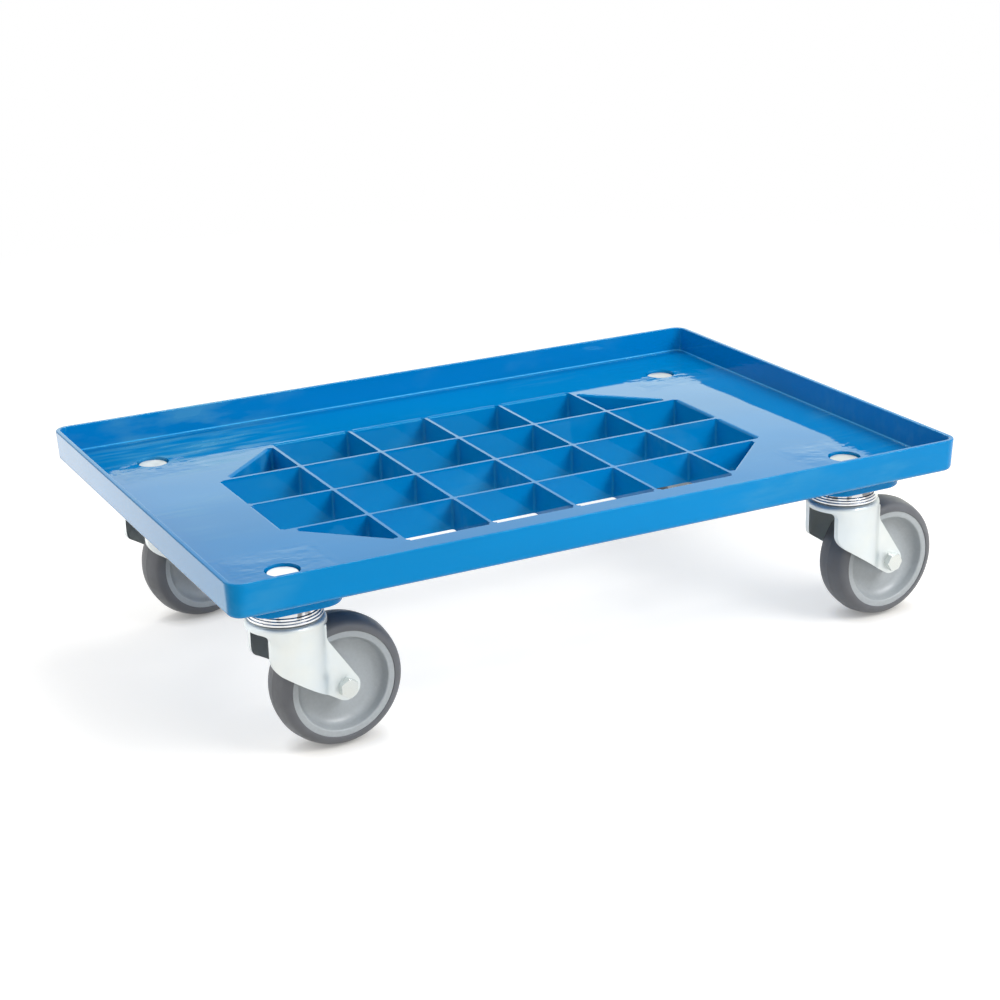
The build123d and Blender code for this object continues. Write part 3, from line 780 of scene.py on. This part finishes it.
class DOLLY_OT_cups(bpy.types.Operator):
    """Model the pressed cups between the deck and the forks"""

    bl_idname = "dolly.cups"
    bl_label = "Cups"

    def execute(self, context):
        settings = context.scene.dolly_castor
        low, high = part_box("top_cup_front_left")
        lip = (high.x - low.x) / 2
        height = high.z - low.z
        inside = settings.cup_foot - settings.cup_sheet
        step_out = (lip - settings.cup_foot) / settings.cup_rings
        step_down = (height - settings.cup_wall) / settings.cup_rings
        bend = (settings.cup_bend, 8)
        crease = (settings.cup_crease, 3)
        ring_edge = (step_out * settings.ring_round, 5)
        profile = [
            (settings.bolt_bore, 0.0, SQUARE),
            (settings.cup_top, 0.0, bend),
            (settings.cup_foot, -settings.cup_wall, crease),
        ]
        for ring in range(settings.cup_rings):
            radius = settings.cup_foot + step_out * (ring + 1)
            level = -settings.cup_wall - step_down * ring
            profile += [(radius, level, ring_edge), (radius, level - step_down, crease)]
        profile += [
            (inside + settings.cup_flare, -height, SQUARE),
            (inside - settings.cup_inner, -settings.cup_sheet, SQUARE),
            (settings.bolt_bore, -settings.cup_sheet, SQUARE),
        ]
        for castor in CASTORS:
            shape = spun(profile, settings.spin_steps)
            along, across, _ = swivel_joints[f"fork_{castor}"]["pos_m"]
            bmesh.ops.translate(shape, vec=(along, across, high.z), verts=shape.verts)
            add_piece(f"cup_pressed_{castor}", shape, "deck", "bright_zinc", settings, [f"top_cup_{castor}"])
        return {"FINISHED"}


class DOLLY_OT_dishes(bpy.types.Operator):
    """Model the dishes under the forks"""

    bl_idname = "dolly.dishes"
    bl_label = "Dishes"

    def execute(self, context):
        settings = context.scene.dolly_castor
        for castor in CASTORS:
            add_pressed(f"dish_pressed_{castor}", f"lower_dish_{castor}", "deck", "bright_zinc", settings)
        return {"FINISHED"}


class DOLLY_OT_forks(bpy.types.Operator):
    """Model the pressed forks with soft sheet edges"""

    bl_idname = "dolly.forks"
    bl_label = "Forks"

    def execute(self, context):
        settings = context.scene.dolly_castor
        for castor in CASTORS:
            add_pressed(f"fork_pressed_{castor}", f"fork_{castor}", f"fork_{castor}", "zinc_plate", settings)
        return {"FINISHED"}


class DOLLY_OT_axles(bpy.types.Operator):
    """Model the axle bolts and nuts"""

    bl_idname = "dolly.axles"
    bl_label = "Axles"

    def execute(self, context):
        for castor in CASTORS:
            for node in ("axle_bolt", "axle_nut"):
                name = f"{node}_plated_{castor}"
                add_fastener(name, f"{node}_{castor}", f"fork_{castor}", context.scene.dolly_castor)
        return {"FINISHED"}


class DOLLY_OT_wheel_centres(bpy.types.Operator):
    """Model the dished wheel centres"""

    bl_idname = "dolly.wheel_centres"
    bl_label = "Wheel centres"

    def execute(self, context):
        settings = context.scene.dolly_castor
        rim = settings.wheel_radius - settings.tyre_thickness
        face = settings.tyre_width / 2 - settings.rim_step
        web = settings.web / 2
        mouth = rim - settings.flange_width
        hub_edge = (settings.hub_edge, 3)
        hub_foot = (settings.recess_round, 10)
        flank_foot = (settings.flank_round, 10)
        mouth_edge = (settings.mouth_edge, 4)
        upper = [
            (settings.hub_bore, settings.hub_half, SQUARE),
            (settings.hub_radius, settings.hub_half, hub_edge),
            (settings.hub_radius, web, hub_foot),
            (mouth - settings.recess_slope, web, flank_foot),
            (mouth, face, mouth_edge),
            (rim, face, SQUARE),
        ]
        for castor in CASTORS:
            shape = wheel_ring(upper, castor, settings.spin_steps)
            name, node = f"wheel_disc_{castor}", f"wheel_centre_{castor}"
            add_piece(name, shape, f"wheel_{castor}", "grey_plastic", settings, [node])
        return {"FINISHED"}


class DOLLY_OT_tyres(bpy.types.Operator):
    """Model the crowned tyres with a mould line around the tread"""

    bl_idname = "dolly.tyres"
    bl_label = "Tyres"

    def execute(self, context):
        settings = context.scene.dolly_castor
        crown = settings.wheel_radius
        bed = crown - settings.tyre_thickness
        half = settings.tyre_width / 2
        edge = crown - settings.tread_crown
        arc = (half**2 + settings.tread_crown**2) / (2 * settings.tread_crown)
        quarter = crown - arc + math.sqrt(arc**2 - (half / 2) ** 2)
        bead = (settings.bead_edge, 3)
        shoulder = (settings.shoulder, 10)
        blend = (half * settings.tread_blend, 6)
        upper = [
            (bed, half, bead),
            (edge, half, shoulder),
            (quarter, half / 2, blend),
            (crown - settings.seam_height, settings.seam_half, SQUARE),
            (crown, settings.seam_half / 2, SQUARE),
        ]
        for castor in CASTORS:
            shape = wheel_ring(upper, castor, settings.spin_steps)
            name, node = f"tyre_tread_{castor}", f"tyre_{castor}"
            add_piece(name, shape, f"wheel_{castor}", "grey_rubber", settings, [node])
        return {"FINISHED"}


class DOLLY_OT_inner_pieces(bpy.types.Operator):
    """Finish the balls, sleeves and bushes inside the castors"""

    bl_idname = "dolly.inner_pieces"
    bl_label = "Inner pieces"

    def execute(self, context):
        settings = context.scene.dolly_castor
        for castor in CASTORS:
            for node in ("upper_balls", "lower_balls", "king_sleeve", "axle_sleeve"):
                dress_node(f"{node}_{castor}", "ball_steel", settings)
            dress_node(f"wheel_bushes_{castor}", "bush_plastic", settings)
        return {"FINISHED"}


# Stage
def clear_rays(nodes):
    """One for the rays that see or mirror the studio, nought for those that only light the object."""
    rays = nodes.node("ShaderNodeLightPath", {}).outputs
    mirrored = nodes.maths("MAXIMUM", rays["Is Camera Ray"], rays["Is Glossy Ray"])
    return nodes.maths("MAXIMUM", mirrored, rays["Is Transmission Ray"])


def floor_material(settings):
    """A white studio floor that keeps the object's shadow from the lamps, has painted shade in its glow near
    the wheels' feet and under the deck, and fades to plain white far away.
    """
    floor = Finish("studio_floor")
    seen = clear_rays(floor)
    far = floor.span(floor.vectors("LENGTH", floor.place, result="Value"), 0.0, 1.0, *settings.fade)
    matt = floor.span(far, settings.floor_shade, 0.0, start=0.0, end=1.0)
    darker = floor.maths("MULTIPLY", seen, floor.maths("SUBTRACT", matt, settings.floor_tone))
    tone = floor.maths("ADD", darker, settings.floor_tone)
    ground = floor.vectors("MULTIPLY", settings.floor_tint, tone)
    floor.set(Base_Color=ground, Roughness=1.0, Specular_IOR_Level=0.0)
    glow = floor.span(far, settings.floor_glow, 1.0, start=0.0, end=1.0)
    # Painted shade: ambient occlusion dims the floor's glow beside the wheels' feet and under the deck
    shades = ((settings.contact_reach, settings.contact_shade), (settings.roof_reach, settings.roof_shade))
    for reach, lost in shades:
        shaded = floor.node("ShaderNodeAmbientOcclusion", {"Distance": reach}, samples=SHADE_SAMPLES)
        left = floor.span(shaded.outputs["AO"], 1.0 - lost, 1.0, start=0.0, end=1.0)
        glow = floor.maths("MULTIPLY", glow, left)
    floor.set(Emission_Color=WHITE, Emission_Strength=floor.maths("MULTIPLY", glow, seen))
    return floor.material


def add_floor(settings):
    """A wide floor just under the tyres."""
    shape = bmesh.new()
    bmesh.ops.create_grid(shape, x_segments=1, y_segments=1, size=FLOOR_REACH)
    bmesh.ops.translate(shape, vec=(0.0, 0.0, ground_level - FLOOR_DROP), verts=shape.verts)
    floor = add_object("studio_floor", shape)
    floor.data.materials.append(floor_material(settings))


def light_world(settings):
    """A plain world: white where seen or mirrored, softer where it lights, with a sheen at one side."""
    world = bpy.data.worlds.new("studio")
    bpy.context.scene.world = world
    world.use_nodes = True
    sky = Nodes(world.node_tree)
    level = sky.span(clear_rays(sky), settings.world_level, 1.0, start=0.0, end=1.0)
    way = sky.node("ShaderNodeTexCoord", {}).outputs["Generated"]
    facing = sky.vectors("DOT_PRODUCT", way, settings.sheen_heading.normalized(), result="Value")
    share = sky.node("ShaderNodeLightPath", {}).outputs["Is Glossy Ray"]
    for value, ends in ((facing, settings.sheen_spread), (sky.sides(way)["Z"], settings.sheen_rise)):
        fade = sky.span(value, 0.0, 1.0, *ends, interpolation_type="SMOOTHSTEP")
        share = sky.maths("MULTIPLY", share, fade)
    inputs = {0: share, 1: settings.sheen, 2: level}
    light = sky.node("ShaderNodeVectorMath", inputs, operation="MULTIPLY_ADD").outputs["Vector"]
    back = sky.node("ShaderNodeBackground", {"Color": light})
    sky.node("ShaderNodeOutputWorld", {"Surface": back.outputs["Background"]})


def add_light(name, place, target, size, power, lights=True, mirrored=True):
    """A soft square light that faces a point; it may only light the object, or only show in reflections."""
    light = bpy.data.lights.new(name, "AREA")
    light.shape = "SQUARE"
    light.size = size
    light.energy = power
    lamp = bpy.data.objects.new(name, light)
    lamp.location = place
    lamp.rotation_euler = (Vector(target) - Vector(place)).to_track_quat("-Z", "Y").to_euler()
    lamp.visible_camera = False
    lamp.visible_diffuse = lights
    lamp.visible_glossy = mirrored
    bpy.context.scene.collection.objects.link(lamp)


def add_lights(settings):
    """The lamps around the dolly, and a card on the floor that shows only in reflections."""
    middle = (0.0, 0.0, 0.0)
    add_light("key_light", settings.key_place, middle, settings.key_size, settings.key_power)
    add_light("key_core", settings.key_place, middle, settings.core_size, settings.core_power, lights=False)
    add_light(
        "fill_light", settings.fill_place, middle, settings.fill_size, settings.fill_power, mirrored=False
    )
    add_light("top_light", settings.top_place, middle, settings.top_size, settings.top_power)
    add_light("left_light", settings.left_place, middle, settings.left_size, settings.left_power)
    card = Vector((*settings.card_place, ground_level + CARD_LIFT))
    add_light("gloss_card", card, card + UP, settings.card_size, settings.card_power, lights=False)


def add_camera(settings):
    """The camera, where the photo was taken from."""
    camera = bpy.data.objects.new("camera", bpy.data.cameras.new("camera"))
    camera.data.lens = settings.lens
    camera.data.sensor_width = FILM_WIDTH
    camera.data.clip_start = NEAR_END
    camera.location = settings.camera_place
    camera.rotation_euler = settings.camera_turn
    bpy.context.scene.collection.objects.link(camera)
    bpy.context.scene.camera = camera


class DOLLY_OT_stage(bpy.types.Operator):
    """Set up the floor, the lights and the camera"""

    bl_idname = "dolly.stage"
    bl_label = "Stage"

    def execute(self, context):
        settings = context.scene.dolly_stage
        add_floor(settings)
        light_world(settings)
        add_lights(settings)
        add_camera(settings)
        context.scene.view_settings.view_transform = "Standard"
        return {"FINISHED"}


# Panel and registration
class DOLLY_PT_panel(bpy.types.Panel):
    """The dolly's pieces and their settings"""

    bl_idname = "DOLLY_PT_panel"
    bl_label = "Crate Dolly"
    bl_space_type = "VIEW_3D"
    bl_region_type = "UI"
    bl_category = "Dolly"

    def draw(self, context):
        for name, operators in STEPS.items():
            box = self.layout.box()
            settings = getattr(context.scene, name)
            for key in settings.bl_rna.properties.keys():
                if key not in ("rna_type", "name"):
                    box.prop(settings, key)
            for operator in operators:
                box.operator(operator.bl_idname)


STEPS = {
    "dolly_deck": (DOLLY_OT_deck,),
    "dolly_castor": (
        DOLLY_OT_castor_bolts,
        DOLLY_OT_cups,
        DOLLY_OT_dishes,
        DOLLY_OT_forks,
        DOLLY_OT_axles,
        DOLLY_OT_wheel_centres,
        DOLLY_OT_tyres,
        DOLLY_OT_inner_pieces,
    ),
    "dolly_stage": (DOLLY_OT_stage,),
}
GROUPS = {"dolly_deck": DeckSettings, "dolly_castor": CastorSettings, "dolly_stage": StageSettings}
CLASSES = [*GROUPS.values(), *(operator for group in STEPS.values() for operator in group), DOLLY_PT_panel]


def register():
    """Adds the classes and the settings they read."""
    for cls in CLASSES:
        bpy.utils.register_class(cls)
    for name, group in GROUPS.items():
        setattr(bpy.types.Scene, name, PointerProperty(type=group))


def unregister():
    """Takes the settings and classes away again."""
    for name in GROUPS:
        delattr(bpy.types.Scene, name)
    for cls in reversed(CLASSES):
        bpy.utils.unregister_class(cls)


def main():
    """Builds every piece in order."""
    register()
    bpy.ops.dolly.deck()
    bpy.ops.dolly.castor_bolts()
    bpy.ops.dolly.cups()
    bpy.ops.dolly.dishes()
    bpy.ops.dolly.forks()
    bpy.ops.dolly.axles()
    bpy.ops.dolly.wheel_centres()
    bpy.ops.dolly.tyres()
    bpy.ops.dolly.inner_pieces()
    bpy.ops.dolly.stage()


if __name__ == "__main__":
    main()
